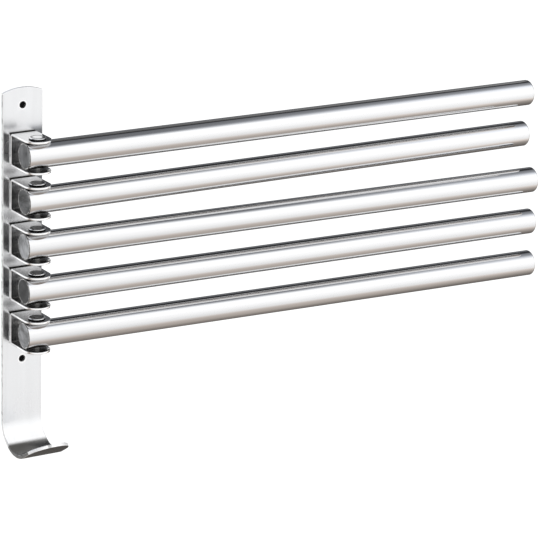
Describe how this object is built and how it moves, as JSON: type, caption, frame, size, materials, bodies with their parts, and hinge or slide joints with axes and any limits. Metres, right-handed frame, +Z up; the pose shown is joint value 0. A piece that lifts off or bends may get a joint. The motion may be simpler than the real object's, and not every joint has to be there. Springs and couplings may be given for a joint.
{
  "type": "swing arm towel bar",
  "caption": "Wall-mounted towel rack of polished steel tubes that swing on riveted clevis brackets, on a strip whose lower end is bent into a robe hook.",
  "frame": {"origin": "midway between the two screw holes, on the back face of the wall strip", "axes": "+X along the wall to the right, the way the arms point at rest; +Y into the wall; +Z up"},
  "size_m": [0.4276, 0.0538, 0.263],
  "materials": {
    "strip": "stainless steel, polished to a soft gloss",
    "bracket": "stainless steel sheet, mirror polished",
    "rivet": "stainless steel, mirror polished head",
    "bush": "stainless steel, as turned",
    "tube": "stainless steel tube, polished, with a fine lengthwise grain",
    "end_disc": "stainless steel disc, ground"
  },
  "bodies": {
    "wall_strip": {"back_plate": "strip", "bracket_1": "bracket", "bracket_2": "bracket", "bracket_3": "bracket", "bracket_4": "bracket", "bracket_5": "bracket", "rivet_1": "rivet", "rivet_2": "rivet", "rivet_3": "rivet", "rivet_4": "rivet", "rivet_5": "rivet"},
    "arm_1": {"arm_tube_1": "tube", "bush_1": "bush", "inner_cup_1": "end_disc", "outer_plug_1": "tube"},
    "arm_2": {"arm_tube_2": "tube", "bush_2": "bush", "inner_cup_2": "end_disc", "outer_plug_2": "tube"},
    "arm_3": {"arm_tube_3": "tube", "bush_3": "bush", "inner_cup_3": "end_disc", "outer_plug_3": "tube"},
    "arm_4": {"arm_tube_4": "tube", "bush_4": "bush", "inner_cup_4": "end_disc", "outer_plug_4": "tube"},
    "arm_5": {"arm_tube_5": "tube", "bush_5": "bush", "inner_cup_5": "end_disc", "outer_plug_5": "tube"}
  },
  "joints": [
    {"name": "arm_1_swing", "type": "hinge", "parent": "wall_strip", "child": "arm_1", "pos_m": [0, -0.024, 0.062], "axis": [0, 0, -1], "range_deg": [-1.1, 178.9]},
    {"name": "arm_2_swing", "type": "hinge", "parent": "wall_strip", "child": "arm_2", "pos_m": [0, -0.024, 0.0295], "axis": [0, 0, -1], "range_deg": [-0.6, 179.4]},
    {"name": "arm_3_swing", "type": "hinge", "parent": "wall_strip", "child": "arm_3", "pos_m": [0, -0.024, -0.003], "axis": [0, 0, -1], "range_deg": [-2.6, 177.4]},
    {"name": "arm_4_swing", "type": "hinge", "parent": "wall_strip", "child": "arm_4", "pos_m": [0, -0.024, -0.0355], "axis": [0, 0, -1], "range_deg": [-2.6, 177.4]},
    {"name": "arm_5_swing", "type": "hinge", "parent": "wall_strip", "child": "arm_5", "pos_m": [0, -0.024, -0.068], "axis": [0, 0, -1], "range_deg": [-2.8, 177.2]}
  ]
}
